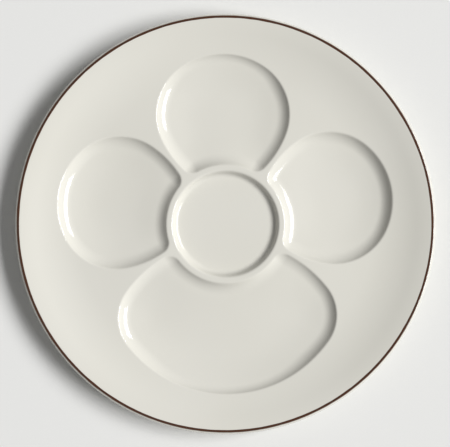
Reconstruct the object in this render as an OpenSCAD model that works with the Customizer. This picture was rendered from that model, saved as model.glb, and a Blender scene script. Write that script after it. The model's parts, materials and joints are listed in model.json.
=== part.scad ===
// Fondue plate: one piece of glazed porcelain, pressed with a round centre well,
// three petal-shaped sauce wells and one long oval well that all reach in to the
// same thin ring, a low coupe rim with a painted line, and a turned foot ring.
// The plate stands on Z = 0, its axis is Z, and the oval well lies towards -Y.

/* [Plate] */
// Outside diameter at the rim
plate_d = 260; // [252:1:320]
// Thickness of the porcelain under the wells and the land
wall_t = 5; // [4:0.5:6]
// Depth of every well below the land
well_depth = 6; // [5.6:0.1:7.5]
// Clearance of the wells' undersides above the table
foot_lift = 3; // [1.5:0.5:6]

/* [Rim] */
// Width of the flat land left outside the longest wells
land_margin = 1; // [0.5:0.5:4]
// Radius of the sweep by which the land turns up to the rim
coupe_r = 55; // [40:5:90]
// Rise of the rim above the level
rim_angle = 12; // [8:1:16]
// Thickness of the rounded lip
lip_t = 4; // [3:0.5:5]
// Width of the painted line
line_w = 1.5; // [1:0.1:1.8]
// White edge left outside the painted line
line_edge = 1; // [0.8:0.1:1.2]
// Thickness of the fired colour
line_t = 0.05; // [0.03:0.01:0.1]

/* [Centre well] */
// Radius of the centre well at its mouth
centre_r = 34; // [30:0.5:36]
// Slope of the centre well's wall from the level
centre_wall = 65; // [60:1:68]
// Radius of the hollow between the centre well's wall and its floor
centre_hollow_r = 6; // [4:0.5:7]
// Width of the top of the ring around the centre well
ring_w = 2; // [1.5:0.1:3]

/* [Outer wells] */
// Slope of the outer wells' walls from the level
outer_wall = 58; // [54:1:60]
// Radius of the hollow between an outer well's wall and its floor
outer_hollow_r = 10; // [8:0.5:10]
// Radius of the outer wells' corners beside the ring
corner_r = 8; // [6:0.5:9]
// Radius of the rounded edge at the mouth of every well
mouth_r = 1.5; // [1:0.1:1.6]

/* [Petal wells] */
// Greatest half width of a petal well
petal_half_w = 42; // [40:0.5:43]
// Distance from the plate's axis to the outer end of a petal well
petal_reach = 106; // [105:0.5:108]
// Distance from the plate's axis to the widest line of a petal well
petal_mid = 68; // [67:0.5:69]
// How much flatter than its sides a petal's flanks are that run in to the ring
petal_flank_more = 26; // [19.5:1.3:32.5]
// Turn of the side petals from the one at the top
petal_turn = 77.5; // [76:0.5:79]

/* [Oval well] */
// Greatest half width of the oval well
oval_half_w = 68.5; // [67:0.5:70]
// Distance from the plate's axis to the outer side of the oval well
oval_reach = 106; // [105:0.5:108]
// Half of the oval well's length towards the plate's rim
oval_half_l = 48.5; // [47:0.5:49]

/* [Foot ring] */
// Diameter of the foot ring at the middle of its face
foot_d = 156; // [140:1:170]
// Width of the foot ring at its face
foot_w = 4; // [3:0.5:6]
// Draft of the foot ring's sides from the upright
foot_draft = 12; // [5:1:20]
// Radius of the foot ring's lower edges
foot_edge_r = 0.8; // [0.4:0.1:1.2]

/* [Hidden] */
$fn = 96;

// Heights of the wells' floors and of the land
floor_z = foot_lift + wall_t;
land_z = floor_z + well_depth;
plate_r = plate_d / 2;

// Arcs are drawn this much proud, so that they cross straight stretches and flats
// cleanly, and so are the corners' turned walls, which cross the walls they round
crossing = 0.01;
corner_proud = 0.05;
// Height by which the cutting forms stand above the land, and the margin by which
// a form that trims another one passes it
cut_over = 6;
sweep_h = 4 * (well_depth + cut_over);
// Reach of the fields that bound each arc, a whole number of fives and thirteens
far = 260;
margin = 1;

// Radius of the outer wells' mouth on the ring's side, and the circle on which the
// centres of their corners lie
ring_r = centre_r + ring_w;
corner_ring_r = ring_r + corner_r;

// Petal: arcs that meet on 3-4-5 and 5-12-13 triangles, so that their centres and
// joints are round numbers and neighbours join exactly; the sides are the tightest
petal_unit = (petal_half_w - petal_reach + petal_mid) / 2;
petal_side_r = petal_half_w - 3 * petal_unit;
petal_end_r = petal_side_r + 5 * petal_unit;
petal_flank_r = petal_side_r + petal_flank_more;
side = [3 * petal_unit, petal_mid];
petal_end = [0, petal_mid - 4 * petal_unit];
flank = side - petal_flank_more / 13 * [12, -5];

// Oval: four arcs that meet on 3-4-5 triangles
oval_mid = oval_reach - oval_half_l;
oval_unit = (oval_half_w - oval_half_l) / 2;
oval_end_r = oval_half_w - 4 * oval_unit;
oval_side_r = oval_end_r + 5 * oval_unit;
oval_end = [4 * oval_unit, -oval_mid];
oval_outer = [0, -oval_mid + 3 * oval_unit];
oval_inner = [0, -oval_mid - 3 * oval_unit];

// Corners: where a circle of the corners' radius touches both the ring and a flank
petal_corner = touching(flank, petal_flank_r - corner_r, -1);
oval_corner = touching(oval_inner, oval_side_r - corner_r, 1);

// Underside: a petal's bulge is round, and reaches as far out as the petal does
petal_bulge_r = petal_half_w;
petal_bulge = [0, petal_reach - petal_bulge_r];

// Underside: a bulge leaves its flat bottom on an arc about the centre of the
// hollow above it, and runs out under the land at a low angle; bulges that meet
// differ by a small step in height, so that their edges cross cleanly
bulge_angle = 35;
blend_r = 5;
blend_angle = 10;
bulge_over = 4;
seam_drop = 0.15;
bulge_step = 0.03;

// Rim: the sweep's and the lip's centres; the underside turns up in one arc that is
// tangent to the lip
coupe = [max(petal_reach, oval_reach) + land_margin, land_z + coupe_r];
lip_r = lip_t / 2;
lip_out = plate_r - lip_r - coupe.x;
lip = coupe + [lip_out, (lip_out * sin(rim_angle) - coupe_r - lip_r) / cos(rim_angle)];
under_rise = lip.y - land_z + wall_t;
under_r = (pow(lip_out, 2) + pow(under_rise, 2) - pow(lip_r, 2)) / (2 * (under_rise - lip_r));
under = [coupe.x, land_z - wall_t + under_r];
under_angle = atan2(lip_out, under.y - lip.y);

// Centre of a circle on the corners' ring, at a distance from another centre; turn
// is the side, seen from the plate's axis
function touching(centre, distance, turn) =
    let (far = norm(centre))
    let (along = (pow(corner_ring_r, 2) - pow(distance, 2) + pow(far, 2)) / (2 * far))
    let (aside = turn * sqrt(pow(corner_ring_r, 2) - pow(along, 2)))
    (along * centre + aside * [-centre.y, centre.x]) / far;

// Angle of the direction from one point to another
function bearing(from, to) = atan2(to.y - from.y, to.x - from.x);

// Direction at an angle from straight down
function down(angle) = [sin(angle), -cos(angle)];

// Width of a wall in plan, from the mouth to the level floor
function wall_run(slope, hollow_r) =
    let (rise = well_depth + crossing - (hollow_r + mouth_r) * (1 - cos(slope)))
    (hollow_r + mouth_r) * sin(slope) + rise / tan(slope);

// Section of a well's cutting form, from the turning axis at X = 0 to its mouth
module well_section(slope = outer_wall, hollow_r = outer_hollow_r) {
    hollow = [$mouth - wall_run(slope, hollow_r), hollow_r];
    low = hollow + hollow_r * down(slope);
    edge = [$mouth, well_depth - mouth_r + crossing];
    high = edge - mouth_r * down(slope);
    knee = [low.x - low.y / tan(slope), 0];
    top = well_depth + cut_over;
    difference() {
        polygon([[0, 0], knee, high, edge, [$mouth, top], [0, top]]);
        translate(edge) circle(mouth_r + crossing);
        difference() {
            polygon([hollow, [hollow.x, -margin], [knee.x + margin, -margin], low + margin * down(slope)]);
            translate(hollow) circle(hollow_r + crossing);
        }
    }
}

// Section of the bulge under a well, from the turning axis at X = 0
module bulge_section() {
    hollow = [$mouth - wall_run(outer_wall, outer_hollow_r), outer_hollow_r];
    bulge_r = outer_hollow_r + wall_t;
    low = hollow + bulge_r * down(bulge_angle);
    blend_rise = blend_r * (cos(blend_angle) - cos(bulge_angle));
    rise = well_depth - wall_t - low.y - blend_rise - seam_drop;
    high = low + rise * [1 / tan(bulge_angle), 1];
    blend = high + blend_r * down(bulge_angle);
    end = blend - blend_r * down(blend_angle);
    over = end + bulge_over * [cos(blend_angle), sin(blend_angle)];
    knee = [low.x - (low.y + wall_t) / tan(bulge_angle), -wall_t];
    top = well_depth - wall_t / 2;
    difference() {
        polygon([[0, -wall_t], knee, high, end, over, [over.x, top], [0, top]]);
        translate(blend) circle(blend_r + crossing);
        difference() {
            polygon([
                hollow,
                [hollow.x, -wall_t - margin],
                [knee.x + margin, -wall_t - margin],
                low + margin * down(bulge_angle)]);
            translate(hollow) circle(bulge_r + crossing);
        }
    }
}

// Full turn of the section that follows, with its mouth at the radius
module turned(centre, radius) {
    $mouth = radius;
    translate([centre.x, centre.y, floor_z]) rotate_extrude() children();
}

// The part of a full turn that lies within a triangle or quadrilateral in plan
module swept(centre, radius, outline) {
    intersection() {
        turned(centre, radius) children();
        translate([0, 0, floor_z - sweep_h / 2]) linear_extrude(sweep_h) polygon(outline);
    }
}

// Corners of the field between two directions from a centre
function field(centre, from, to) = [
    centre,
    centre + far / norm(from) * from,
    centre + far * (from / norm(from) + to / norm(to)),
    centre + far / norm(to) * to];

// Petal towards +Y, with the section that follows
module petal() {
    swept(petal_end, petal_end_r, field(petal_end, [3, 4], [-3, 4])) children();
    for (half = [0, 1]) mirror([half, 0, 0]) {
        swept(side, petal_side_r, field(side, [12, -5], [3, 4])) children();
        swept(flank, petal_flank_r, [flank, flank + far / 13 * [12, -5], [0, 0]]) children();
    }
}

// Oval towards -Y, with the section that follows
module oval() {
    swept(oval_outer, oval_side_r, field(oval_outer, [4, -3], [-4, -3])) children();
    swept(oval_inner, oval_side_r, field(oval_inner, [4, 3], [-4, 3])) children();
    for (half = [0, 1]) mirror([half, 0, 0])
        swept(oval_end, oval_end_r, field(oval_end, [4, -3], [4, 3])) children();
}

// Fillet in the corner between a flank and the ring: what lies outside the corner's
// turned wall, from its centre to past the sharp corner
module corner_fillet(corner, from, to) {
    reach = 1.5 * corner_r;
    difference() {
        translate([corner.x, corner.y, floor_z - margin])
            linear_extrude(well_depth + cut_over + 2 * margin)
            polygon([
                [0, 0],
                reach * [cos(from), sin(from)],
                reach * [cos((from + to) / 2), sin((from + to) / 2)],
                reach * [cos(to), sin(to)]]);
        turned(corner, corner_r + corner_proud) well_section();
    }
}

// Cutting form of a petal well towards +Y, with its corners beside the ring
module petal_well() {
    difference() {
        petal() well_section();
        for (half = [0, 1]) mirror([half, 0, 0])
            corner_fillet(petal_corner, bearing(petal_corner, [0, 0]), bearing(flank, petal_corner));
    }
}

// Cutting form of the oval well towards -Y, with its corners beside the ring
module oval_well() {
    difference() {
        oval() well_section();
        for (half = [0, 1]) mirror([half, 0, 0])
            corner_fillet(oval_corner, bearing(oval_inner, oval_corner), bearing(oval_corner, [0, 0]));
    }
}

// Solid post that stays between the outer wells: its wall is the ring's outer wall
module ring_post() {
    foot_r = ring_r + wall_run(outer_wall, outer_hollow_r) + margin;
    span = foot_r - ring_r + margin;
    difference() {
        translate([0, 0, floor_z - margin])
            cylinder(h = well_depth + cut_over + 2 * margin, r = foot_r);
        translate([0, 0, floor_z])
            rotate_extrude() translate([ring_r + span, 0]) mirror([1, 0]) well_section($mouth = span);
    }
}

// Cutting forms of all five wells
module wells() {
    difference() {
        union() {
            for (turn = [-petal_turn, 0, petal_turn]) rotate(turn) petal_well();
            oval_well();
        }
        ring_post();
    }
    turned([0, 0], centre_r) well_section(centre_wall, centre_hollow_r);
}

// Section of the level land and the rim that sweeps up to the rounded lip
module body_section() {
    rim_way = [cos(rim_angle), sin(rim_angle)];
    under_way = [cos(under_angle), sin(under_angle)];
    difference() {
        polygon([
            [0, under.y - under_r],
            under + [under_r * tan(under_angle / 2), -under_r],
            lip + lip_r * (down(under_angle) + under_way),
            lip + lip_r * (rim_way - down(rim_angle)),
            coupe + coupe_r * down(rim_angle),
            [coupe.x, land_z],
            [0, land_z]]);
        translate(coupe) circle(coupe_r + crossing);
        difference() {
            polygon([
                [under.x, land_z],
                under - [0, under_r + margin],
                under + [under_r * tan(under_angle / 2), -under_r - margin],
                under + (under_r + margin) * down(under_angle),
                lip]);
            translate(under) circle(under_r + crossing);
        }
        difference() {
            polygon([
                lip,
                lip + lip_t * down(under_angle),
                lip + lip_t * (down(under_angle) + under_way),
                lip + lip_t * (rim_way - down(rim_angle)),
                lip - lip_t * down(rim_angle)]);
            translate(lip) circle(lip_r + crossing);
        }
    }
}

// Painted line around the lip, as a fired coat
module line_section() {
    intersection() {
        translate(lip) circle(lip_r + line_t);
        translate([plate_r - line_edge - line_w, lip.y]) square([line_w, lip_t]);
    }
}

// Bulges of the wells on the underside; neighbours differ by a small step in height
module bulges() {
    for (turn = [-petal_turn, petal_turn]) rotate(turn)
        turned(petal_bulge, petal_bulge_r) bulge_section();
    translate([0, 0, bulge_step]) {
        turned(petal_bulge, petal_bulge_r) bulge_section();
        oval() bulge_section();
    }
    translate([0, 0, 2 * bulge_step]) turned([0, 0], corner_ring_r) bulge_section();
}

// Section of the foot ring, from the table up into the porcelain
module foot_section() {
    lean = tan(foot_draft);
    half = foot_w / 2;
    top = land_z - wall_t / 3;
    edge = [half - foot_edge_r * tan(45 - foot_draft / 2), foot_edge_r];
    translate([foot_d / 2, 0]) difference() {
        polygon([[-half, 0], [half, 0], [half + top * lean, top], [-half - top * lean, top]]);
        for (hand = [0, 1]) mirror([hand, 0]) difference() {
            polygon([
                edge,
                [edge.x, -margin],
                [half + margin, -margin],
                edge + (foot_edge_r + margin) * [cos(foot_draft), -sin(foot_draft)]]);
            translate(edge) circle(foot_edge_r + crossing);
        }
    }
}

// The plate: turned body, bulges, foot ring and line, pressed in with the wells
module plate() {
    difference() {
        union() {
            color("white") rotate_extrude() body_section();
            color("white") bulges();
            color("white") rotate_extrude() foot_section();
            color("saddlebrown") rotate_extrude() line_section();
        }
        color("white") wells();
    }
}

plate();
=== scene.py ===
# %% [markdown]
# # A porcelain fondue plate
# The plate is one fired piece: a disc of porcelain with a round well in the middle,
# three petal-shaped sauce wells, one long oval well, a low turned-up rim with a
# painted brown line, and a foot ring underneath. The packed CAD model gives the
# exact sizes. This lesson gives the plate a finer skin, its glaze, its painted line
# and its unglazed foot, and then lights it and looks straight down on it.
#
# The CAD model is loaded first. The factory scene's cube, lamp and camera go before
# that, because the picture gets its own.

# %% Start from the packed model
import json
import math
from types import SimpleNamespace

import bpy
import numpy as np
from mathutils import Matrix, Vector
from mathutils.geometry import delaunay_2d_cdt

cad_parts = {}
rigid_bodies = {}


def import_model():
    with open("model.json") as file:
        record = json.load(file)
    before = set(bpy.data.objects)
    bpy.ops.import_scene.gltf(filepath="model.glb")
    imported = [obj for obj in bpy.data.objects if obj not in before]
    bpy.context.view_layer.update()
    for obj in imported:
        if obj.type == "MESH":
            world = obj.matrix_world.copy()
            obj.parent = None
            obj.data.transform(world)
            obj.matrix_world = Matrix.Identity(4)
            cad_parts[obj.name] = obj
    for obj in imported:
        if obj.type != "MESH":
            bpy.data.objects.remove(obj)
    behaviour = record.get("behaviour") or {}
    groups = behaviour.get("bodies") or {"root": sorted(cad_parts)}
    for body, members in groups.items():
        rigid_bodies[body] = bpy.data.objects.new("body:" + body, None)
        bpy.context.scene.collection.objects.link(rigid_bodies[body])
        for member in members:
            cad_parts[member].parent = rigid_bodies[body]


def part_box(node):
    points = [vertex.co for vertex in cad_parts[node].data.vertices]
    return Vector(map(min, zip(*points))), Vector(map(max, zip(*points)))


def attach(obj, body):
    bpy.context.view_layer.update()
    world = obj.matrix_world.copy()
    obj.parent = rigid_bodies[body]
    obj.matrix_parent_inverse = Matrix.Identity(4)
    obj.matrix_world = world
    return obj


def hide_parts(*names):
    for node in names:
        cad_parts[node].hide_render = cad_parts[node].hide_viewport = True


MM = 1000.0  # millimetres in a metre

for item in list(bpy.data.objects):
    bpy.data.objects.remove(item)
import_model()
bpy.context.view_layer.update()
low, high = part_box("plate")
print("CAD box in mm:", [round(MM * v, 2) for v in (*low, *high)])

# %% [markdown]
# ## One helper for every kind of node, and one for colours
# Materials and Geometry Nodes are both trees of nodes. Trees can be drawn by hand in
# the node editor, but a script can be read, compared and run again. One small
# function adds a node, sets its options, and fills its inputs with plain values or
# with links. Colours are picked as hex codes, as in a paint program, but a node
# wants the amount of light, so a second function turns the one into the other.

# %% Add a node, and read a colour
def node(tree, kind, options=None, inputs=None):
    """A new node; an input's value is a number, a colour, an output socket or a field."""
    made = tree.nodes.new(kind)
    for name, value in (options or {}).items():
        setattr(made, name, value)
    for name, value in (inputs or {}).items():
        value = getattr(value, "socket", value)
        if isinstance(value, bpy.types.NodeSocket):
            tree.links.new(value, made.inputs[name])
        else:
            made.inputs[name].default_value = value
    return made


def srgb(code):
    """A hex colour as Blender's linear red, green, blue and alpha."""
    parts = [int(code[i : i + 2], 16) / 255 for i in (1, 3, 5)]
    return [c / 12.92 if c <= 0.04045 else ((c + 0.055) / 1.055) ** 2.4 for c in parts] + [1.0]


print("mid grey #808080 gives", round(srgb("#808080")[0], 3), "of white's light")

# %% [markdown]
# ## Sizes
# All sizes are in millimetres, as a potter's drawing would give them. The plate's
# radius comes from the packed model. A wall has four sizes: how deep it goes, its
# steepest slope, the radius of the hollow that runs into the floor, and the radius
# of the edge at its mouth. The hollows are wide, because a pressed plate has to let
# go of its mould, and because a sauce well is wiped clean with bread.

# %% Sizes of the wells
SIZES = SimpleNamespace(
    plate_r=round(MM * high.x, 1),
    mouth_r=1.7,
    outer_depth=3.75,
    outer_slope=48.0,
    outer_hollow_r=9.5,
    centre_depth=4.3,
    centre_slope=65.0,
    centre_hollow_r=3.2,
    centre_r=34.0,
    ring_w=2.0,
    corner_r=8.0,
)
SIZES.ring_r = SIZES.centre_r + SIZES.ring_w
print("plate radius", SIZES.plate_r, "mm, ring radius", SIZES.ring_r, "mm")

# %% [markdown]
# Fired clay is softer than its drawing. The floors dish by a depth that is reached
# over a width. The walls get smaller by a share, from one distance up and down the
# plate to another. The oval loses a share of its depth around its corners beside the
# ring. And a crown lifts all that lies inside the rim.

# %% Sizes of the softer forms
SIZES.dish = 2.0
SIZES.dish_w = 11.0
SIZES.dish_blend = 9.0
SIZES.shallow = 0.6
SIZES.shallow_y = (80.0, 104.0)
SIZES.corner_soft = 0.35
SIZES.corner_soft_w = 14.0
SIZES.crown = 1.3
SIZES.crown_in = 42.0
print("the floors dish by", SIZES.dish, "mm and the middle stands", SIZES.crown, "mm up")

# %% [markdown]
# Potters call a rim that sweeps up without a step a coupe. It has the place where
# the sweep starts, its radius, the slopes where it ends and at the lip, and the
# lip's radius and height. Underneath, there are the clay's thickness, the height of
# the bulges, the foot ring's radius, half width, draft and edge, and the bulges'
# slope with the widths over which they blend.

# %% Sizes of the rim and the underside
SIZES.coupe_x = 93.0
SIZES.coupe_r = 108.0
SIZES.rim_slope = 13.5
SIZES.lip_slope = 10.0
SIZES.lip_r = 2.0
SIZES.lip_z = 15.19
SIZES.wall_t = 5.0
SIZES.under_z = 2.2
SIZES.foot_r = 78.0
SIZES.foot_half = 2.0
SIZES.foot_draft = 12.0
SIZES.foot_edge_r = 0.8
SIZES.bulge_slope = 35.0
SIZES.bulge_blend = 5.0
SIZES.blend = 1.5
print("clay", SIZES.wall_t, "mm thick, foot ring", 2 * SIZES.foot_r, "mm across")

# %% [markdown]
# ## The rim's section
# The rim sweeps up on a wide arc, flares to its lip on a slope that eases off, and
# ends in a round lip, which is kind to the fingers and doesn't chip. The lip lies
# where the CAD model has it. So the section is worked out backwards from the lip,
# and that gives the height of the land.

# %% Places in the rim's section
LIP_X = SIZES.plate_r - SIZES.lip_r
STEEP = math.tan(math.radians(SIZES.rim_slope))
EASY = math.tan(math.radians(SIZES.lip_slope))
SWEEP_W = SIZES.coupe_r * math.sin(math.radians(SIZES.rim_slope))
SWEEP_H = SIZES.coupe_r * (1 - math.cos(math.radians(SIZES.rim_slope)))
LIP_IN = LIP_X - SIZES.lip_r * math.sin(math.radians(SIZES.lip_slope))
FLARE_W = LIP_IN - SIZES.coupe_x - SWEEP_W
FLARE_H = FLARE_W * (STEEP + EASY) / 2
EASE_OFF = (STEEP - EASY) / (2 * FLARE_W)
LIP_UP = SIZES.lip_r * math.cos(math.radians(SIZES.lip_slope))
SIZES.land_z = SIZES.lip_z + LIP_UP - SWEEP_H - FLARE_H
print("the land is", round(SIZES.land_z, 2), "mm up, and the rim rises above it by")
print("sweep", round(SWEEP_H, 2), "mm and flare", round(FLARE_H, 2), "mm")

# %% [markdown]
# ## Arcs of the outlines
# Each well's outline is a chain of arcs that run smoothly into each other, as a
# mould maker draws them with compasses. An arc is its centre's x and y and its
# radius. Neighbouring centres lie on 3-4-5 and 5-12-13 triangles, so all of them are
# round numbers. The three petals are one outline, turned around the plate's axis.

# %% The arcs
PETAL_TURNS = (-77.5, 0.0, 77.5)
PETAL_END, PETAL_SIDE, PETAL_FLANK = (0, 60, 46), (6, 68, 36), (-18, 78, 62)
OVAL_OUTER, OVAL_INNER, OVAL_END = (0, -27.5, 78.5), (0, -87.5, 78.5), (40, -57.5, 28.5)
PETAL_BULGE = (0, 64, 42)
print("petals at", PETAL_TURNS, "degrees, reaching", PETAL_END[1] + PETAL_END[2], "mm out")
print("the oval reaches", OVAL_OUTER[2] - OVAL_OUTER[1], "mm out")

# %% [markdown]
# ## A rule that can be read two ways
# The plate's shape is a rule: at any place in plan it gives the height of the upper
# and of the lower surface. NumPy needs that rule to choose where the mesh has its
# points, and Geometry Nodes needs it to press the mesh into shape. It could be
# written twice, but then the two would drift apart. So the rule is written once. A
# Field is a value that a node tree works out at every point, and adding or
# multiplying two Fields adds a Math node. Fed with plain numbers, the same lines of
# Python are worked out by NumPy.

# %% Fields
class Field:
    """A value that a node tree works out at every point of a mesh."""

    def __init__(self, tree, socket):
        self.tree = tree
        self.socket = socket

    def __add__(self, other):
        return worked("ADD", self, other)

    def __radd__(self, other):
        return worked("ADD", other, self)

    def __sub__(self, other):
        return worked("SUBTRACT", self, other)

    def __rsub__(self, other):
        return worked("SUBTRACT", other, self)

    def __mul__(self, other):
        return worked("MULTIPLY", self, other)

    def __rmul__(self, other):
        return worked("MULTIPLY", other, self)

    def __truediv__(self, other):
        return worked("DIVIDE", self, other)

    def __rtruediv__(self, other):
        return worked("DIVIDE", other, self)

    def __gt__(self, other):
        test = {"data_type": "FLOAT", "operation": "GREATER_THAN"}
        made = node(self.tree, "FunctionNodeCompare", test, {"A": self, "B": other})
        return Field(self.tree, made.outputs["Result"])


print("Fields can be added, subtracted, multiplied, divided and compared")

# %% Work out one step, in nodes or in NumPy
def worked(operation, *values):
    """The result of one operation on values of which at least one is a Field."""
    tree = next(v.tree for v in values if isinstance(v, Field))
    made = node(tree, "ShaderNodeMath", {"operation": operation}, dict(enumerate(values)))
    return Field(tree, made.outputs[0])


def either(operation, plain, *values):
    """An operation that nodes work out for Fields, and NumPy for plain numbers."""
    if any(isinstance(v, Field) for v in values):
        return worked(operation, *values)
    return plain(*values)


def choose(test, yes, no):
    """One of two values at every point, by a test."""
    if isinstance(test, Field):
        inputs = {"Switch": test, "True": yes, "False": no}
        made = node(test.tree, "GeometryNodeSwitch", {"input_type": "FLOAT"}, inputs)
        return Field(test.tree, made.outputs["Output"])
    return np.where(test, yes, no)


print("two choices, worked out by NumPy:", choose(np.array([True, False]), 1.0, 2.0))

# %% Operations that the rule uses
def least(a, b):
    return either("MINIMUM", np.minimum, a, b)


def most(a, b):
    return either("MAXIMUM", np.maximum, a, b)


def size(a):
    return either("ABSOLUTE", np.abs, a)


def root(a):
    """Square root; a negative value counts as nought."""
    return either("SQRT", np.sqrt, most(a, 0.0))


def power(a):
    """The number e to the power of a value."""
    return either("EXPONENT", np.exp, a)


def sine(degrees):
    return either("SINE", np.sin, degrees * (math.pi / 180))


def cosine(degrees):
    return either("COSINE", np.cos, degrees * (math.pi / 180))


print("sine and cosine of 30 degrees:", np.round([sine(30.0), cosine(30.0)], 3))

# %% [markdown]
# ## Soft joints
# A share runs from 0 to 1 and stays there. With a share, a hard choice between two
# surfaces becomes a soft joint, like one that was smoothed with a wet sponge. The
# least of two heights cuts one surface into the other, and the most of two joins
# them.

# %% Shares and soft joints
def share(a):
    """A value, kept between 0 and 1."""
    return least(most(a, 0.0), 1.0)


def eased(whole, t):
    """A part of a whole that grows with a share t, and starts and ends level."""
    return whole * t * t * (3.0 - 2.0 * t)


def smooth_least(a, b, width):
    """The lower of two values, blended where they are within a width of each other."""
    t = share(0.5 + 0.5 * (b - a) / width)
    return b + (a - b) * t - width * t * (1.0 - t)


def smooth_most(a, b, width):
    """The higher of two values, blended where they are within a width of each other."""
    t = share(0.5 + 0.5 * (a - b) / width)
    return b + (a - b) * t + width * t * (1.0 - t)


print("the least of 1 and 2, hard and soft:", least(1.0, 2.0), smooth_least(1.0, 2.0, 4.0))

# %% [markdown]
# ## Outlines of the wells
# Each outline gives, at any place, the inset: how far the place lies inside the
# mouth of the well. An arc's inset is its radius less the distance from its centre.
# Which arc counts is decided by the side of a joint line on which the place lies,
# and a cross product tells that side. Curves with a bevel could draw the same
# outlines, but they couldn't tell a point how far inside it lies.

# %% Insets
def inset(x, y, arc):
    """How far a place lies inside an arc's circle."""
    return arc[2] - root((x - arc[0]) * (x - arc[0]) + (y - arc[1]) * (y - arc[1]))


def left_of(x, y, centre, way):
    """More than nought to the left of the line from a centre along a direction."""
    return way[0] * (y - centre[1]) - way[1] * (x - centre[0])


print("10 mm off its centre, the petal's end has an inset of", inset(0.0, 70.0, PETAL_END))

# %% [markdown]
# The ring around the centre well cuts the inner side off every outer well. Where a
# well's side meets the ring, the corner is round, on an arc that touches both, so
# that glaze doesn't gather in it and a spoon gets in.

# %% Corners beside the ring
def corner_centre(arc, ring, turn):
    """The corner arc that touches both the ring and an outline's arc."""
    cx, cy, radius = arc
    far = math.hypot(cx, cy)
    gap = radius - SIZES.corner_r
    along = (ring * ring - gap * gap + far * far) / (2 * far)
    aside = turn * math.sqrt(ring * ring - along * along)
    x, y = (along * cx - aside * cy) / far, (along * cy + aside * cx) / far
    return x, y, SIZES.corner_r


def with_corner(x, y, wall, arc, corner, s):
    """A well's inset, with the ring's side and a round corner where they meet."""
    ring = root(x * x + y * y) - s.ring_r
    way = (corner[0] - arc[0], corner[1] - arc[1])
    hand = 1 if corner[1] > 0 else -1
    past_ring = hand * left_of(x, y, corner, (-corner[0], -corner[1]))
    past_wall = -hand * left_of(x, y, corner, way)
    in_corner = least(past_ring, past_wall) > 0
    return choose(in_corner, inset(x, y, corner), least(wall, ring))


PETAL_CORNER = corner_centre(PETAL_FLANK, SIZES.ring_r + SIZES.corner_r, -1)
OVAL_CORNER = corner_centre(OVAL_INNER, SIZES.ring_r + SIZES.corner_r, 1)
print("corner arcs at", np.round(PETAL_CORNER[:2], 2), "and", np.round(OVAL_CORNER[:2], 2))

# %% The petal wells
def petal_wall(x, y):
    """Inset of the petal that points along Y, before the ring cuts it; x isn't negative."""
    above = left_of(x, y, PETAL_SIDE, (3, 4)) > 0
    below = left_of(x, y, PETAL_SIDE, (-12, 5)) > 0
    upper_part = choose(above, inset(x, y, PETAL_END), inset(x, y, PETAL_SIDE))
    return choose(below, inset(x, y, PETAL_FLANK), upper_part)


def petal(x, y, s):
    """Inset of the petal well that points along Y."""
    x = size(x)
    return with_corner(x, y, petal_wall(x, y), PETAL_FLANK, PETAL_CORNER, s)


def turned(x, y, degrees):
    """A place as it is seen from a petal that is turned by an angle."""
    c = math.cos(math.radians(degrees))
    n = math.sin(math.radians(degrees))
    return x * c + y * n, y * c - x * n


print("46 mm up the page, the top petal's inset is", petal(0.0, 46.0, SIZES), "mm")

# %% The oval well
def oval_wall(x, y):
    """Inset of the four-arc oval, before the ring cuts into it; x isn't negative."""
    inner = left_of(x, y, OVAL_END, (4, 3)) > 0
    outer = left_of(x, y, OVAL_END, (-4, 3)) > 0
    upper_part = choose(inner, inset(x, y, OVAL_INNER), inset(x, y, OVAL_END))
    return choose(outer, inset(x, y, OVAL_OUTER), upper_part)


def oval(x, y, s):
    """Inset of the oval well."""
    x = size(x)
    return with_corner(x, y, oval_wall(x, y), OVAL_INNER, OVAL_CORNER, s)


print("60 mm to the right, the oval's inset is", oval(60.0, OVAL_END[1], SIZES), "mm")

# %% [markdown]
# ## A well's wall
# The wall rolls over its edge at the mouth, drops on a straight slope, and turns
# into the floor on a wide hollow. A Bevel modifier rounds the edges of a plain wall,
# but it can't make a hollow this wide in a well this shallow. So the section is
# worked out from the inset.

# %% The wall's section
def wall_run(depth, slope, hollow_r, s):
    """Width of a wall in plan."""
    rise = depth - (hollow_r + s.mouth_r) * (1 - cosine(slope))
    return (hollow_r + s.mouth_r) * sine(slope) + rise * cosine(slope) / sine(slope)


def wall_height(d, depth, slope, hollow_r, s):
    """Height of a wall below the land, at an inset d; it isn't more than nought."""
    run = wall_run(depth, slope, hollow_r, s)
    roll_w = s.mouth_r * sine(slope)
    roll = root(s.mouth_r * s.mouth_r - d * d) - s.mouth_r
    foot_w = hollow_r * sine(slope)
    back = run - d
    hollow = hollow_r - root(hollow_r * hollow_r - back * back) - depth
    drop = s.mouth_r * (1 - cosine(slope)) + (d - roll_w) * sine(slope) / cosine(slope)
    below = choose(back > foot_w, 0.0 - drop, hollow)
    height = choose(roll_w > d, roll, below)
    return choose(d > 0, choose(d > run, 0.0 - depth, height), 0.0)


OUTER_WALL = (SIZES.outer_depth, SIZES.outer_slope, SIZES.outer_hollow_r)
CENTRE_WALL = (SIZES.centre_depth, SIZES.centre_slope, SIZES.centre_hollow_r)
OUTER_RUN = float(wall_run(*OUTER_WALL, SIZES))
CENTRE_RUN = float(wall_run(*CENTRE_WALL, SIZES))
print("walls are", round(OUTER_RUN, 2), "and", round(CENTRE_RUN, 2), "mm wide in plan")

# %% [markdown]
# ## Softer forms
# A pressed and fired plate isn't as crisp as its drawing. Its floors dish a little,
# its walls get lower and narrower beside the rim, and the oval is shallower in its
# two corners beside the ring. These could be sculpted, but as parts of the rule they
# stay even and can be changed by one number.

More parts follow.
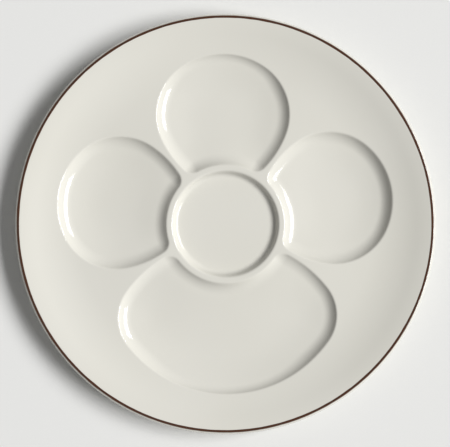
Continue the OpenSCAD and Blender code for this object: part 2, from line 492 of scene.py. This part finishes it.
# %% Dished floors
def dish_height(x, y, s):
    """Depth of the shallow dish in which an outer well's floor lies, below nought."""
    wall = oval_wall(size(x), y)
    for degrees in PETAL_TURNS:
        px, py = turned(x, y, degrees)
        wall = most(wall, petal_wall(size(px), py))
    soft = most(smooth_least(wall, root(x * x + y * y) - s.ring_r, s.dish_blend), 0.0)
    t = soft / s.dish_w
    return s.dish * (power(t * t * -0.5) - 1.0)


print("dish in the middle of the top well:", round(dish_height(0.0, 70.0, SIZES), 2), "mm")

# %% Lower walls
def shrink(y, s):
    """How many times smaller the outer walls are at the top and the bottom of the plate."""
    t = share((size(y) - s.shallow_y[0]) / (s.shallow_y[1] - s.shallow_y[0]))
    return 1.0 + eased(s.shallow, t)


def corner_share(x, y, s):
    """Share of its depth that the oval has near its corners beside the ring."""
    dx = (size(x) - OVAL_CORNER[0]) / s.corner_soft_w
    dy = (y - OVAL_CORNER[1]) / s.corner_soft_w
    return 1.0 - s.corner_soft * power((dx * dx + dy * dy) * -0.5)


print("at its far end the top well's wall is", shrink(106.0, SIZES), "times smaller")

# %% [markdown]
# A slight crown lifts the middle of the plate. It is common in pressed plates, which
# would otherwise sag there in the kiln, and it is what shades the land from left to
# right under a light from the side.

# %% Crown and rim
def crown(r, s):
    """How far the middle of the plate stands above its level form."""
    return eased(s.crown, share((s.coupe_x - r) / (s.coupe_x - s.crown_in)))


def rim_height(r, s):
    """Height of the land, the sweep, the flare and the lip at a radius."""
    out = r - s.coupe_x
    sweep = s.coupe_r - root(s.coupe_r * s.coupe_r - out * out)
    past = out - SWEEP_W
    flare = SWEEP_H + past * STEEP - past * past * EASE_OFF
    lip = s.lip_z - s.land_z + root(s.lip_r * s.lip_r - (r - LIP_X) * (r - LIP_X))
    raised = choose(past > 0, choose(r > LIP_IN, lip, flare), sweep)
    return s.land_z + choose(out > 0, raised, 0.0)


print("the lip's top is", round(float(rim_height(LIP_X, SIZES)), 2), "mm up")

# %% [markdown]
# ## The upper surface
# The rim, the wells and the crown add up to the upper surface. Where wells meet at
# the thin ring, the lowest of them counts, so the ring is what is left between them.

# %% The upper surface
def upper(x, y, s):
    """Height of the plate's upper surface."""
    r = root(x * x + y * y)
    in_oval = oval(x, y, s)
    outer = in_oval
    for degrees in PETAL_TURNS:
        outer = most(outer, petal(*turned(x, y, degrees), s))
    depth_share = choose(in_oval > 0, corner_share(x, y, s), 1.0)
    times = shrink(y, s)
    wall = wall_height(outer * times, s.outer_depth, s.outer_slope, s.outer_hollow_r, s) / times
    wells = least(
        depth_share * (wall + dish_height(x, y, s)),
        wall_height(s.centre_r - r, s.centre_depth, s.centre_slope, s.centre_hollow_r, s),
    )
    return rim_height(r, s) + wells + crown(r, s)


for name, y in {"centre well": 0.0, "top well": 70.0, "oval well": -70.0}.items():
    print("floor of the", name, round(float(upper(0.0, y, SIZES)), 2), "mm up")

# %% [markdown]
# ## The underside
# Underneath, each well shows as a bulge, so the clay is about as thick everywhere
# and dries without cracking. The bulges run softly into each other. The foot ring
# has drafted sides, because it has to leave the mould too, and rounded edges. All of
# it is in the rule, so that the two sides of the plate can't come apart.

# %% Bulges
def bulge_height(d, s):
    """Height of a well's bulge above its floor, less the clay, at an inset d."""
    out = wall_run(s.outer_depth, s.outer_slope, s.outer_hollow_r, s) - d
    radius = s.outer_hollow_r + s.wall_t
    turn_w = radius * math.sin(math.radians(s.bulge_slope))
    turn_z = s.outer_hollow_r - radius * math.cos(math.radians(s.bulge_slope))
    turn = s.outer_hollow_r - root(radius * radius - out * out)
    slope = turn_z + (out - turn_w) * math.tan(math.radians(s.bulge_slope))
    return choose(out > 0, choose(out > turn_w, slope, turn), -s.wall_t)


RISE_AT_MOUTH = float(bulge_height(0.0, SIZES)) + SIZES.wall_t
print("below its mouth a well's bulge has risen", round(RISE_AT_MOUTH, 2), "mm")

# %% Foot ring
FOOT_LEAN = math.radians(SIZES.foot_draft)
FOOT_FLAT = SIZES.foot_half - SIZES.foot_edge_r * math.tan(math.pi / 4 - FOOT_LEAN / 2)


def foot_height(r, s):
    """Height of the foot ring's surface at a radius."""
    out = size(r - s.foot_r)
    edge = s.foot_edge_r - root(s.foot_edge_r**2 - (out - FOOT_FLAT) * (out - FOOT_FLAT))
    side = (out - s.foot_half) / math.tan(FOOT_LEAN)
    high_part = choose(out > FOOT_FLAT + s.foot_edge_r * math.cos(FOOT_LEAN), side, edge)
    return choose(out > FOOT_FLAT, high_part, 0.0)


print("the foot's flat face is", round(2 * FOOT_FLAT, 2), "mm wide")

# %% [markdown]
# The rim's underside is one wide arc. It starts level, one wall below the land, and
# ends where it touches the round lip.

# %% The lower surface
UNDER_RISE = SIZES.lip_z - SIZES.land_z + SIZES.wall_t
UNDER_OUT = LIP_X - SIZES.coupe_x
UNDER_R = (UNDER_OUT**2 + UNDER_RISE**2 - SIZES.lip_r**2) / (2 * (UNDER_RISE - SIZES.lip_r))
UNDER_END = SIZES.coupe_x + UNDER_R * UNDER_OUT / math.hypot(UNDER_OUT, UNDER_R - UNDER_RISE)


def lower(x, y, s):
    """Height of the plate's lower surface."""
    r = root(x * x + y * y)
    out = r - s.coupe_x
    sweep = UNDER_R - root(UNDER_R * UNDER_R - out * out)
    lip = s.lip_z - root(s.lip_r * s.lip_r - (r - LIP_X) * (r - LIP_X))
    land = s.land_z - s.wall_t + choose(out > 0, sweep, 0.0) + crown(r, s)
    bulge = smooth_most(oval_wall(size(x), y), s.ring_r + s.corner_r - r, s.bulge_blend)
    for degrees in PETAL_TURNS:
        one_petal = inset(*turned(x, y, degrees), PETAL_BULGE)
        bulge = smooth_most(bulge, one_petal, s.bulge_blend)
    clay = smooth_least(land, s.under_z + s.wall_t + bulge_height(bulge, s), s.blend)
    clay = choose(r > UNDER_END, lip, clay)
    return least(clay, foot_height(r, s))


UNDER_TOP_WELL = float(upper(0.0, 70.0, SIZES) - lower(0.0, 70.0, SIZES))
print("the clay under the top well is", round(UNDER_TOP_WELL, 2), "mm thick")

# %% [markdown]
# ## Where the mesh has its points
# A surface bends most at the wells' edges and hollows, and hardly at all on the
# land. A subdivided grid would spend most of its points on the land and still show
# steps along the walls. So the points follow the wells' arcs, in rings at chosen
# insets that are close together where the wall turns quickly. A point on an arc is
# kept only where the rule says that the arc counts.

# %% Circles and insets
STEP = 0.95
FEWEST = 12
ROLL_STEPS, HOLLOW_STEPS = 6, 11
OUTSIDE_MOUTH = [-1.2, -0.4]
ON_THE_FLOOR = [1.2, 3.0, 5.0]


def circle(cx, cy, radius, step=STEP):
    """Points around a circle, about one step apart."""
    count = max(int(2 * math.pi * radius / step), FEWEST)
    a = np.arange(count) * (2 * math.pi / count)
    return np.column_stack([cx + radius * np.cos(a), cy + radius * np.sin(a)])


def wall_insets(slope, hollow_r, run):
    """Insets at which a wall's section has its points."""
    a = math.radians(slope)
    roll = [SIZES.mouth_r * math.sin(a * i / ROLL_STEPS) for i in range(ROLL_STEPS + 1)]
    hollow = [run - hollow_r * math.sin(a * i / HOLLOW_STEPS) for i in range(HOLLOW_STEPS + 1)]
    return OUTSIDE_MOUTH + roll + hollow[::-1] + [run + more for more in ON_THE_FLOOR]


OUTER_INSETS = wall_insets(SIZES.outer_slope, SIZES.outer_hollow_r, OUTER_RUN)
CENTRE_INSETS = wall_insets(SIZES.centre_slope, SIZES.centre_hollow_r, CENTRE_RUN)
print("an outer wall has", len(OUTER_INSETS), "rings of points")

# %% Points along an outline
ON_ARC = 1e-4
SMALLEST_R = 0.3


def joint(arc, way, d):
    """Both mirrored places at an inset d where an arc ends, in a direction from its centre."""
    reach = (arc[2] - d) / math.hypot(*way)
    px, py = arc[0] + reach * way[0], arc[1] + reach * way[1]
    return np.array([[px, py], [-px, py]])


def on_outline(rule, arcs, joints, d, s):
    """Points at an inset d along the arcs of an outline."""
    found = [joint(arc, way, d) for arc, way in joints if arc[2] - d > SMALLEST_R]
    circles = [
        circle(mirror * cx, cy, radius - d)
        for cx, cy, radius in arcs
        if radius - d >= SMALLEST_R
        for mirror in (1, -1)
    ]
    for p in circles + [circle(0, 0, s.ring_r + d)]:
        found.append(p[np.abs(rule(p[:, 0], p[:, 1], s) - d) < ON_ARC])
    return np.vstack(found)


print("the petal's side meets its end at", joint(PETAL_SIDE, (3, 4), 0.0)[0])

# %% The arcs and joints of both outlines
def corner_ends(corner, arc):
    """Directions in which a corner's arc ends: at the ring, and at the wall's arc."""
    to_wall = (corner[0] - arc[0], corner[1] - arc[1])
    return [(corner, (-corner[0], -corner[1])), (corner, to_wall)]


PETAL_ARCS = (PETAL_END, PETAL_SIDE, PETAL_FLANK, PETAL_CORNER)
PETAL_JOINTS = [(PETAL_SIDE, (3, 4)), (PETAL_SIDE, (12, -5))]
PETAL_JOINTS += corner_ends(PETAL_CORNER, PETAL_FLANK)
OVAL_ARCS = (OVAL_OUTER, OVAL_INNER, OVAL_END, OVAL_CORNER)
OVAL_JOINTS = [(OVAL_END, (4, 3)), (OVAL_END, (4, -3))]
OVAL_JOINTS += corner_ends(OVAL_CORNER, OVAL_INNER)
MOUTH = on_outline(petal, PETAL_ARCS, PETAL_JOINTS, 0.0, SIZES)
print("points around the mouth of a petal well:", len(MOUTH))

# %% Points on the walls of the wells
def turn_back(points, degrees):
    """Points of the petal along Y, moved to a petal that is turned by an angle."""
    c = math.cos(math.radians(degrees))
    n = math.sin(math.radians(degrees))
    return points @ np.array([[c, n], [-n, c]])


def upper_points(s):
    """Plan of the points on the walls of the wells."""
    one_petal = [on_outline(petal, PETAL_ARCS, PETAL_JOINTS, d, s) for d in OUTER_INSETS]
    one_oval = [on_outline(oval, OVAL_ARCS, OVAL_JOINTS, d, s) for d in OUTER_INSETS]
    sets = [turn_back(np.vstack(one_petal), degrees) for degrees in PETAL_TURNS]
    sets += one_oval
    sets += [circle(0, 0, s.centre_r - d) for d in CENTRE_INSETS if d > -s.ring_w / 2]
    return np.vstack(sets)


WALL_POINTS = upper_points(SIZES)
print("points on the wells' walls:", len(WALL_POINTS))

# %% Rings on the rim
SWEEP_RINGS, FLARE_RINGS, LIP_RINGS = 14, 6, 14


def rim_radii(s):
    """Radii of the rings on the sweep, the flare and the lip."""
    sweep = list(np.linspace(s.coupe_x, s.coupe_x + SWEEP_W, SWEEP_RINGS))
    flare = list(np.linspace(s.coupe_x + SWEEP_W, LIP_IN, FLARE_RINGS))[1:-1]
    start = -math.radians(s.lip_slope)
    turn = [LIP_X + s.lip_r * math.sin(t) for t in np.linspace(start, math.pi / 2, LIP_RINGS)]
    return [s.coupe_x - 1.0] + sweep + flare + turn


print("rings on the rim:", len(rim_radii(SIZES)))

# %% Rings on the underside
FOOT_SIDE_Z = (SIZES.under_z, 3.4, 4.8, 6.2, 7.4, 8.6)
BESIDE_FOOT = [4.4, 5.2]
FOOT_EDGE_RINGS, UNDER_SWEEP_RINGS, UNDER_LIP_RINGS = 4, 10, 9
BEFORE_LIP = 0.5


def under_radii(s):
    """Radii of the rings on the foot ring, the underside's sweep and the lip."""
    corner = np.linspace(0, math.pi / 2 - FOOT_LEAN, FOOT_EDGE_RINGS)
    turn = [FOOT_FLAT + s.foot_edge_r * math.sin(t) for t in corner]
    side = [s.foot_half + z * math.tan(FOOT_LEAN) for z in FOOT_SIDE_Z]
    foot = [s.foot_r + hand * w for hand in (1, -1) for w in turn + side + BESIDE_FOOT]
    sweep = list(np.linspace(s.coupe_x, UNDER_END - BEFORE_LIP, UNDER_SWEEP_RINGS))
    start = math.asin((UNDER_END - LIP_X) / s.lip_r)
    lip = np.linspace(start, math.pi / 2, UNDER_LIP_RINGS)
    return foot + sweep + [LIP_X + s.lip_r * math.sin(t) for t in lip]


print("rings underneath:", len(under_radii(SIZES)))

# %% Points around the bulges
BULGE_STEP = 1.8
NEAR_FOOT = 5.6
BULGE_OUTS = [-1.0] + list(np.linspace(0.0, 9.0, 8)) + list(np.linspace(10.0, 16.5, 8))


def under_points(s):
    """Plan of the points around the bulges on the underside."""
    sets = []
    for out in BULGE_OUTS:
        d = OUTER_RUN - out
        bulge = circle(PETAL_BULGE[0], PETAL_BULGE[1], PETAL_BULGE[2] - d, BULGE_STEP)
        sets += [turn_back(bulge, degrees) for degrees in PETAL_TURNS]
        sets.append(circle(0, 0, s.ring_r + s.corner_r - d, BULGE_STEP))
        for cx, cy, radius in (OVAL_OUTER, OVAL_INNER, OVAL_END):
            for mirror in (1, -1):
                p = circle(mirror * cx, cy, radius - d, BULGE_STEP)
                sets.append(p[np.abs(oval_wall(np.abs(p[:, 0]), p[:, 1]) - d) < ON_ARC])
    points = np.vstack(sets)
    from_foot = np.abs(np.hypot(points[:, 0], points[:, 1]) - s.foot_r)
    return points[from_foot > NEAR_FOOT]


BULGE_POINTS = under_points(SIZES)
print("points around the bulges:", len(BULGE_POINTS))

# %% [markdown]
# ## Filling in and joining up
# A coarse triangular grid fills the land and the floors, except where a ring is
# already near. Points that would fall on top of each other are thinned out, because
# they would make slivers that shade badly. A Delaunay triangulation then joins
# everything up: of all the ways to join points, it has the fewest thin triangles.

# %% Grid, thinning and clearance
def grid(pitch, reach):
    """A triangular grid of points within a radius."""
    steps = np.arange(-reach, reach, pitch)
    x, y = np.meshgrid(steps, steps)
    x = x + (np.arange(len(steps)) % 2)[:, None] * pitch / 2
    inside = np.hypot(x, y) < reach
    return np.column_stack([x[inside], y[inside]])


def thinned(points, gap):
    """Points without any that fall in the same small cell."""
    cells = np.round(points / gap).astype(int)
    _, keep = np.unique(cells, axis=0, return_index=True)
    return points[np.sort(keep)]


def away_from(points, others, gap):
    """The points that have none of the others within a gap."""
    taken = set(map(tuple, np.round(others / gap).astype(int)))
    kept = []
    for p in points:
        i, j = np.round(p / gap).astype(int)
        near = any((i + a, j + b) in taken for a in (-1, 0, 1) for b in (-1, 0, 1))
        if not near:
            kept.append(p)
    return np.array(kept)


ABOVE_PITCH, BELOW_PITCH = 2.6, 2.1
print("a full grid above would have", len(grid(ABOVE_PITCH, SIZES.plate_r)), "points")

# %% Points of each side
RING_STEP, FOOT_STEP = 1.6, 1.3
FOOT_ZONE = 6.0
CELL = 0.12
EDGE_GAP = 0.01
FILL_GAP = 3


def sheet(walls, radii, pitch, s):
    """Plan of one side of the plate: its edge, its walls, its rings and a fill between."""
    inner = []
    for r in radii:
        # beside the foot's steep sides, all rings have the same number of points
        near_foot = abs(r - s.foot_r) < FOOT_ZONE
        step = FOOT_STEP * r / s.foot_r if near_foot else RING_STEP
        if r < s.plate_r - EDGE_GAP:
            inner.append(circle(0, 0, r, step))
    rings = thinned(np.vstack([walls] + inner), CELL)
    fill = away_from(grid(pitch, s.plate_r - FILL_GAP), rings, pitch / 2)
    return np.vstack([circle(0, 0, s.plate_r, RING_STEP), rings, fill])


above = sheet(WALL_POINTS, rim_radii(SIZES), ABOVE_PITCH, SIZES)
below = sheet(BULGE_POINTS, under_radii(SIZES), BELOW_PITCH, SIZES)
print("points above and below:", len(above), len(below))

# %% Triangles
SAME_PLACE = 1e-6


def triangulated(points):
    """Triangles that join points in plan, all the same way round."""
    plan = [Vector(p) for p in points]
    places, _, faces, _, _, _ = delaunay_2d_cdt(plan, [], [], 0, SAME_PLACE)
    return np.array([list(p) for p in places]), np.array(faces)


top_plan, top_faces = triangulated(above)
low_plan, low_faces = triangulated(below)
print("triangles above and below:", len(top_faces), len(low_faces))

# %% [markdown]
# ## The blank
# Both sides of the plate start as one flat sheet each, in the same plane, like a
# slab of clay before it is pressed. The lower one is turned over, so that its faces
# point down, and a mark on its points tells which rule they follow.

# %% A flat blank
plan = np.vstack([top_plan, low_plan]) / MM
flat = np.column_stack([plan, np.zeros(len(plan))])
faces = np.vstack([top_faces, low_faces[:, ::-1] + len(top_plan)])
slab = bpy.data.meshes.new("blank")
slab.from_pydata(flat.tolist(), [], faces.tolist())
mark = slab.attributes.new("underside", "FLOAT", "POINT")
mark.data.foreach_set("value", [0.0] * len(top_plan) + [1.0] * len(low_plan))
print("the blank has", len(slab.vertices), "points and", len(slab.polygons), "triangles")

# %% [markdown]
# ## Glazed porcelain
# Porcelain has a warm white body under a clear, glassy glaze. The plate is pressed,
# dipped in the glaze and fired, and the glaze melts and levels itself. To the eye
# that is a smooth, shiny surface, with a very slight unevenness that makes the edges
# of its highlights wander. The colours could be painted on an image, but a pattern
# that reads each point's place is sharp at any distance and needs no unwrapping.

# %% Start of the material
glaze = bpy.data.materials.new("glazed porcelain")
glaze.use_nodes = True
coat = glaze.node_tree
coat.nodes.clear()
object_place = node(coat, "ShaderNodeTexCoord").outputs["Object"]
coordinates = node(coat, "ShaderNodeSeparateXYZ", inputs={0: object_place})
X, Y, Z = (Field(coat, coordinates.outputs[axis]) * MM for axis in "XYZ")
print("nodes that give each point's place in mm:", len(coat.nodes))

# %% [markdown]
# A Noise Texture makes soft spots. They are about as wide as one over its scale, in
# metres, so each scale is worked out from the width that the spots have on the real
# plate, in millimetres.

# %% Noise by the size of its spots
def scale_for(spot_mm):
    """Scale of a noise whose spots are about this many millimetres wide."""
    return MM / spot_mm


BRUSH_MM, CLOUD_MM, RIPPLE_MM = 6.25, 71.43, 4.545
brush_look = {"Vector": object_place, "Scale": scale_for(BRUSH_MM), "Detail": 3.0}
brush = node(coat, "ShaderNodeTexNoise", inputs=brush_look).outputs["Fac"]
print("brush marks", BRUSH_MM, "mm long need a noise scale of", scale_for(BRUSH_MM))

# %% [markdown]
# ## The painted line
# The brown line is painted on the glaze with a brush, while the plate turns on a
# wheel. The plate is never quite centred there, so the line's circle lies a fifth of
# a millimetre aside. Its edges waver by a tenth of a millimetre, and towards the lip
# the colour thins out over half a millimetre. The line could be a thin ring of its
# own, but fired paint has no thickness that a finger could feel.

# %% The painted line
LINE_IN, LINE_OUT = 127.15, 129.05
LINE_OFF = (-0.2, 0.1)
CRISP, THIN, WAVER = 0.12, 0.5, 0.35
TURN_OVER = 0.25

line_x = X - LINE_OFF[0]
line_y = Y - LINE_OFF[1]
line_r = root(line_x * line_x + line_y * line_y)
waver = (Field(coat, brush) - 0.5) * WAVER
inner_edge = share((line_r - LINE_IN + waver) / CRISP)
outer_edge = share((LINE_OUT - line_r + waver) / THIN)
on_top = share((Z - SIZES.lip_z) / TURN_OVER)
line = inner_edge * outer_edge * on_top
print("the line is", round(LINE_OUT - THIN / 2 - LINE_IN, 2), "mm wide")

# %% [markdown]
# ## The colours
# The body's white varies very slightly over a few centimetres, as any fired body
# does. The brown is iron paint, a little darker where the brush left more of it. The
# foot's face is wiped clean before firing and shows the bare, buff body. A Mix node
# puts two colours together by a share: its inputs 0, 6 and 7 are the share and the
# colours, and its output 2 is the mixed colour.

# %% Colours of the plate
BARE_Z, BARE_EDGE = 0.35, 0.1
COVER = 0.98
MIX = ("ShaderNodeMix", {"data_type": "RGBA"})

clouds_look = {"Vector": object_place, "Scale": scale_for(CLOUD_MM), "Detail": 2.0}
clouds = node(coat, "ShaderNodeTexNoise", inputs=clouds_look).outputs["Fac"]
bare = share((BARE_Z - Z) / BARE_EDGE)
body_whites = {0: clouds, 6: srgb("#E4E2DA"), 7: srgb("#DFDDD3")}
body = node(coat, *MIX, body_whites).outputs[2]
paint_browns = {0: brush, 6: srgb("#341705"), 7: srgb("#52290D")}
paint = node(coat, *MIX, paint_browns).outputs[2]
painted = node(coat, *MIX, {0: line * COVER, 6: body, 7: paint}).outputs[2]
colour = node(coat, *MIX, {0: bare, 6: painted, 7: srgb("#D9D2C2")}).outputs[2]
print("the foot is bare up to", BARE_Z, "mm")

# %% [markdown]
# ## The shine
# A fired glaze has an IOR of about 1.5 and is nearly as smooth as glass. Its faint
# ripple is a few millimetres long and only hundredths of a millimetre high, too low
# for the mesh, so it is made as bump. The fired paint is a little duller than the
# glaze, and the bare foot is as dull as chalk.

# %% Shine of the glaze, the paint and the foot
GLAZE_ROUGH, BARE_ROUGHER, PAINT_ROUGHER = 0.10, 0.62, 0.10
RIPPLE_H, RIPPLE_SHARE = 0.04 / MM, 0.35

ripple_look = {"Vector": object_place, "Scale": scale_for(RIPPLE_MM), "Detail": 1.5}
ripple = node(coat, "ShaderNodeTexNoise", inputs=ripple_look).outputs["Fac"]
uneven = {"Strength": RIPPLE_SHARE, "Distance": RIPPLE_H, "Height": ripple}
finish = {
    "Base Color": colour,
    "Roughness": GLAZE_ROUGH + BARE_ROUGHER * bare + PAINT_ROUGHER * line,
    "IOR": 1.5,
    "Normal": node(coat, "ShaderNodeBump", inputs=uneven).outputs["Normal"],
}
shader = node(coat, "ShaderNodeBsdfPrincipled", inputs=finish)
node(coat, "ShaderNodeOutputMaterial", inputs={"Surface": shader.outputs[0]})
print("glazed porcelain has", len(coat.nodes), "nodes")

# %% [markdown]
# ## Pressing the blank with Geometry Nodes
# The tree reads each point's place, works out the rule with the sizes from the
# modifier's named inputs, and lifts the point to its height. Then it welds the two
# sides at the lip, shades them smooth and gives them the glaze. The heights could be
# set by the script alone, but in a tree the sizes stay open to change, and the plate
# can be pressed again with a deeper well in a moment.

# %% Named inputs of the tree
TREE_SIZES = {
    "Mouth edge radius": "mouth_r",
    "Outer wall depth": "outer_depth",
    "Outer wall slope": "outer_slope",
    "Outer hollow radius": "outer_hollow_r",
    "Floor dish depth": "dish",
    "Centre well depth": "centre_depth",
    "Centre wall slope": "centre_slope",
    "Centre hollow radius": "centre_hollow_r",
    "Centre well radius": "centre_r",
    "Ring radius": "ring_r",
    "Crown height": "crown",
}
press_tree = bpy.data.node_groups.new("press_plate", "GeometryNodeTree")
sockets = press_tree.interface
sockets.new_socket("Blank", in_out="INPUT", socket_type="NodeSocketGeometry")
for name in TREE_SIZES:
    sockets.new_socket(name, in_out="INPUT", socket_type="NodeSocketFloat")
sockets.new_socket("Plate", in_out="OUTPUT", socket_type="NodeSocketGeometry")
print("the tree has", len(TREE_SIZES), "sizes as inputs")

# %% The rule as nodes
given = node(press_tree, "NodeGroupInput")
tree_sizes = SimpleNamespace(**vars(SIZES))
for name, attribute in TREE_SIZES.items():
    setattr(tree_sizes, attribute, Field(press_tree, given.outputs[name]))

position = node(press_tree, "GeometryNodeInputPosition").outputs[0]
place = node(press_tree, "ShaderNodeSeparateXYZ", inputs={0: position})
flat_x = Field(press_tree, place.outputs["X"]) * MM
flat_y = Field(press_tree, place.outputs["Y"]) * MM
look_up = ("GeometryNodeInputNamedAttribute", {"data_type": "FLOAT"}, {"Name": "underside"})
is_under = Field(press_tree, node(press_tree, *look_up).outputs["Attribute"]) > 0.5
heights = choose(is_under, lower(flat_x, flat_y, tree_sizes), upper(flat_x, flat_y, tree_sizes))
lift = node(press_tree, "ShaderNodeCombineXYZ", inputs={"Z": heights / MM})
print("the rule takes", len(press_tree.nodes), "nodes")

# %% Lift, weld, smooth and glaze
WELD = 2e-6

shape = given.outputs["Blank"]
for kind, inputs in (
    ("GeometryNodeSetPosition", {"Offset": lift.outputs[0]}),
    ("GeometryNodeMergeByDistance", {"Distance": WELD}),
    ("GeometryNodeSetShadeSmooth", {}),
    ("GeometryNodeRealizeInstances", {}),
    ("GeometryNodeSetMaterial", {"Material": glaze}),
):
    shape = node(press_tree, kind, inputs={"Geometry": shape, **inputs}).outputs[0]
node(press_tree, "NodeGroupOutput", inputs={"Plate": shape})
print("the pressing tree has", len(press_tree.nodes), "nodes")

# %% [markdown]
# ## Press the plate
# A modifier's inputs are set by their identifiers, because names can repeat. The
# evaluated object is turned into a plain mesh, and the blank goes. The new plate
# takes the place of the CAD model's, rides on the same body, and has its material
# slot.

# %% Press the blank
carrier = bpy.data.objects.new("blank", slab)
bpy.context.collection.objects.link(carrier)
press = carrier.modifiers.new("press", "NODES")
press.node_group = press_tree
for item in press_tree.interface.items_tree:
    if item.name in TREE_SIZES:
        press[item.identifier] = float(getattr(SIZES, TREE_SIZES[item.name]))
ready = carrier.evaluated_get(bpy.context.evaluated_depsgraph_get())
pressed = bpy.data.meshes.new_from_object(ready)
bpy.data.objects.remove(carrier)
print("the pressed plate has", len(pressed.polygons), "triangles")

# %% Put the plate in place
plate = bpy.data.objects.new("glazed_plate", pressed)
bpy.context.collection.objects.link(plate)
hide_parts("plate")
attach(plate, "root")
spans = MM * np.array([v.co for v in plate.data.vertices])
print("it spans", np.round(spans.min(0), 2), "to", np.round(spans.max(0), 2), "mm")

# %% [markdown]
# ## Camera
# The picture looks straight down on the plate. A short lens from close by would show
# the rim larger than the floors of the wells, so a long one is used, and it stands
# well back. The plate lies about half a pixel off the middle of the picture and is
# turned by 1.3 degrees.

# %% Camera
PICTURE_W = 450
MM_PER_PIXEL = 0.6186
PLATE_OFF = (0.56, 0.58)
ROLL = math.radians(-1.3)
LENS, SENSOR = 100.0, 36.0

camera = bpy.data.objects.new("camera", bpy.data.cameras.new("camera"))
bpy.context.collection.objects.link(camera)
camera.data.lens = LENS
camera.data.sensor_width = SENSOR
camera_z = SIZES.lip_z / MM + PICTURE_W * MM_PER_PIXEL / MM * LENS / SENSOR
off_x = -PLATE_OFF[0] * MM_PER_PIXEL / MM
off_y = PLATE_OFF[1] * MM_PER_PIXEL / MM
camera.location = (
    off_x * math.cos(ROLL) - off_y * math.sin(ROLL),
    off_x * math.sin(ROLL) + off_y * math.cos(ROLL),
    camera_z,
)
camera.rotation_euler = (0, 0, ROLL)
bpy.context.scene.camera = camera
print("the camera is", round(camera_z, 3), "m up")

# %% [markdown]
# ## Light
# One large, soft light stands on the right, 44 degrees above the table, like a wide
# window. It darkens the right-hand walls of the wells and draws a bright streak on
# the left-hand ones. It is far away, so that it is equally bright all over the
# plate, and 40 degrees wide and 20 degrees tall as the plate sees it. A sun lamp
# would be as even, but a glaze mirrors the lamp, and only an area lamp has a shape.
# A weak white world fills the shadows.

# %% Light
KEY_UP = math.radians(44)
KEY_FAR = 20.0
KEY_WIDE, KEY_TALL = 0.728, 0.353
KEY_WATTS = 11.94
FILL = 0.19

key = bpy.data.objects.new("key", bpy.data.lights.new("key", "AREA"))
bpy.context.collection.objects.link(key)
key.data.shape = "RECTANGLE"
key.data.size = KEY_WIDE * KEY_FAR
key.data.size_y = KEY_TALL * KEY_FAR
key.data.energy = KEY_WATTS * KEY_FAR**2
key.location = (KEY_FAR * math.cos(KEY_UP), 0, KEY_FAR * math.sin(KEY_UP))
key.rotation_euler = Vector(key.location).to_track_quat("Z", "Y").to_euler()

world = bpy.data.worlds.new("studio")
bpy.context.scene.world = world
world.use_nodes = True
sky = world.node_tree.nodes["Background"]
sky.inputs["Color"].default_value = srgb("#FFFFFF")
sky.inputs["Strength"].default_value = FILL
bpy.context.scene.view_settings.view_transform = "Standard"
print("the light gives", round(key.data.energy), "W from", KEY_FAR, "m")

# %% [markdown]
# ## Floor
# The plate lies on a plain sheet of pale, matt studio paper. Paper is felted from
# fibres and left uncoated, so it has hardly any shine and a fine grain. The grain is
# drawn a millimetre wide, coarser than real fibres, because finer grain wouldn't
# show. A curved backdrop is common in a studio, but a flat sheet looks the same from
# above and keeps the plate's shadow as well.

# %% The sheet
REACH = 2.5

floor_mesh = bpy.data.meshes.new("floor")
corners = [(-REACH, -REACH, 0), (REACH, -REACH, 0), (REACH, REACH, 0), (-REACH, REACH, 0)]
floor_mesh.from_pydata(corners, [], [(0, 1, 2, 3)])
floor = bpy.data.objects.new("floor", floor_mesh)
bpy.context.collection.objects.link(floor)
print("the floor is", 2 * REACH, "m wide")

# %% Matt studio paper
GRAIN_MM = 1.111
PAPER_ROUGH, PAPER_SHINE = 0.95, 0.15

paper = bpy.data.materials.new("matt studio paper")
paper.use_nodes = True
fibres = paper.node_tree
sheet_place = node(fibres, "ShaderNodeTexCoord").outputs["Object"]
grain_look = {"Vector": sheet_place, "Scale": scale_for(GRAIN_MM)}
grain = node(fibres, "ShaderNodeTexNoise", inputs=grain_look).outputs["Fac"]
tones = {0: grain, 6: srgb("#E9E9E7"), 7: srgb("#ECECEA")}
paper_shader = fibres.nodes["Principled BSDF"]
fibres.links.new(node(fibres, *MIX, tones).outputs[2], paper_shader.inputs["Base Color"])
paper_shader.inputs["Roughness"].default_value = PAPER_ROUGH
paper_shader.inputs["Specular IOR Level"].default_value = PAPER_SHINE
floor_mesh.materials.append(paper)
print("the paper's grain is", GRAIN_MM, "mm wide")

# %% [markdown]
# ## Finish
# The view layer is brought up to date once more, so that every object
# stands where the script put it. The box of the dressed plate has to stay inside
# the CAD model's.

# %% Finish
bpy.context.view_layer.update()
